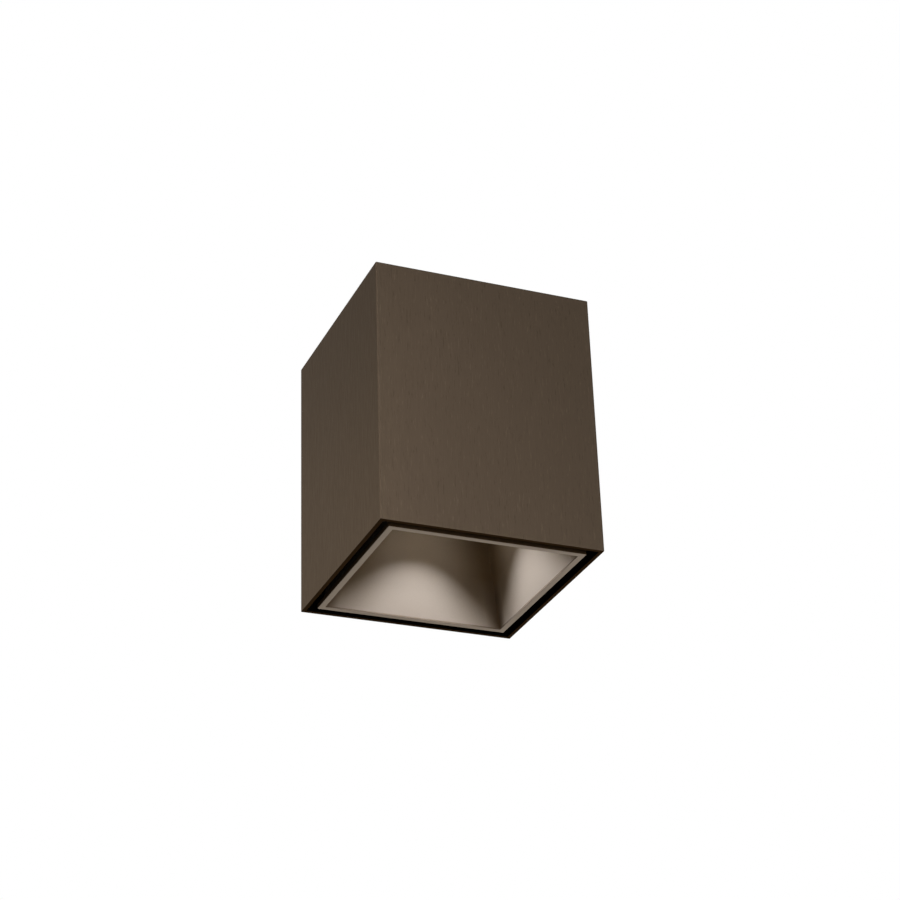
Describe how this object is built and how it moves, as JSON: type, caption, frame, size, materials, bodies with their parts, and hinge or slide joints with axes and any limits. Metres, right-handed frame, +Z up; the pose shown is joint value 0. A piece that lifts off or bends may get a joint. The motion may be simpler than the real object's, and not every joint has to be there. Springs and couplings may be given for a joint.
{
  "type": "surface-mounted ceiling downlight",
  "caption": "Square surface-mounted ceiling downlight: brushed bronze box with a recessed, tapered square reflector and its driver inside.",
  "frame": {"origin": "middle of the ceiling plane, on the bracket's upper face", "axes": "+Z up towards the ceiling, so the light hangs below z = 0 and shines along -Z; +X runs along the line of the first pair of fixing slots"},
  "size_m": [0.08, 0.08, 0.0975],
  "materials": {
    "bronze_anodised": "brushed upright, bronze anodised",
    "satin_bronze": "satin metallic paint",
    "zinc_steel": "zinc plated",
    "raw_aluminium": "bare, extruded",
    "spring_steel": "polished strip",
    "black_plastic": "fine grain",
    "white_plastic": "fine grain",
    "orange_plastic": "moulded",
    "circuit_green": "solder mask",
    "circuit_white": "solder mask",
    "ferrite": "sintered",
    "capacitor_sleeve": "shrunk sleeve",
    "copper": "tin-flashed copper",
    "brass": "turned",
    "brown_pvc": "wire sleeve",
    "blue_pvc": "wire sleeve",
    "green_yellow_pvc": "striped wire sleeve",
    "red_silicone": "lead sleeve",
    "black_silicone": "lead sleeve",
    "thermal_silicone": "soft pad",
    "phosphor": "cast phosphor",
    "magnet_nickel": "nickel plated",
    "clear_glass": "flat, clear",
    "rubber": "moulded"
  },
  "bodies": {
    "ceiling_mount": {"ceiling_bracket": "zinc_steel", "leaf_springs": "spring_steel", "spring_rivets": "raw_aluminium", "cable_grommet": "rubber"},
    "luminaire": {"housing": "bronze_anodised", "corner_blocks": "raw_aluminium", "heat_sink": "raw_aluminium", "standoffs": "brass", "gear_tray": "zinc_steel", "tray_screws": "zinc_steel", "driver_case": "white_plastic", "driver_lid": "white_plastic", "driver_board": "circuit_green", "driver_transformer": "ferrite", "driver_capacitors": "capacitor_sleeve", "driver_screws": "zinc_steel", "terminal_block": "white_plastic", "terminal_contacts": "copper", "terminal_screws": "zinc_steel", "cable_clamp": "zinc_steel", "cable_clamp_screws": "zinc_steel", "earth_screw": "brass", "earth_ring": "copper", "wire_live": "brown_pvc", "wire_neutral": "blue_pvc", "wire_earth": "green_yellow_pvc", "led_lead_red": "red_silicone", "led_lead_black": "black_silicone", "thermal_pad": "thermal_silicone", "led_board": "circuit_white", "led_emitter": "phosphor", "led_holder": "white_plastic", "led_holder_screws": "zinc_steel", "optic_carrier": "black_plastic", "carrier_screws": "zinc_steel", "magnets": "magnet_nickel"},
    "optic": {"reflector": "satin_bronze", "cover_glass": "clear_glass", "glare_cone": "black_plastic", "keeper_ring": "zinc_steel", "keeper_pins": "zinc_steel"},
    "button_live": {"release_button_live": "orange_plastic"},
    "button_neutral": {"release_button_neutral": "orange_plastic"},
    "button_earth": {"release_button_earth": "orange_plastic"}
  },
  "joints": [
    {"name": "pull_off_bracket", "type": "slide", "parent": "ceiling_mount", "child": "luminaire", "axis": [0, 0, -1], "range_m": [0, 0.04]},
    {"name": "pull_out_optic", "type": "slide", "parent": "luminaire", "child": "optic", "axis": [0, 0, -1], "range_m": [0, 0.055]},
    {"name": "press_live", "type": "slide", "parent": "luminaire", "child": "button_live", "axis": [0, 0, -1], "range_m": [0, 0.0015], "stiffness_N_per_m": 2000},
    {"name": "press_neutral", "type": "slide", "parent": "luminaire", "child": "button_neutral", "axis": [0, 0, -1], "range_m": [0, 0.0015], "stiffness_N_per_m": 2000},
    {"name": "press_earth", "type": "slide", "parent": "luminaire", "child": "button_earth", "axis": [0, 0, -1], "range_m": [0, 0.0015], "stiffness_N_per_m": 2000}
  ]
}
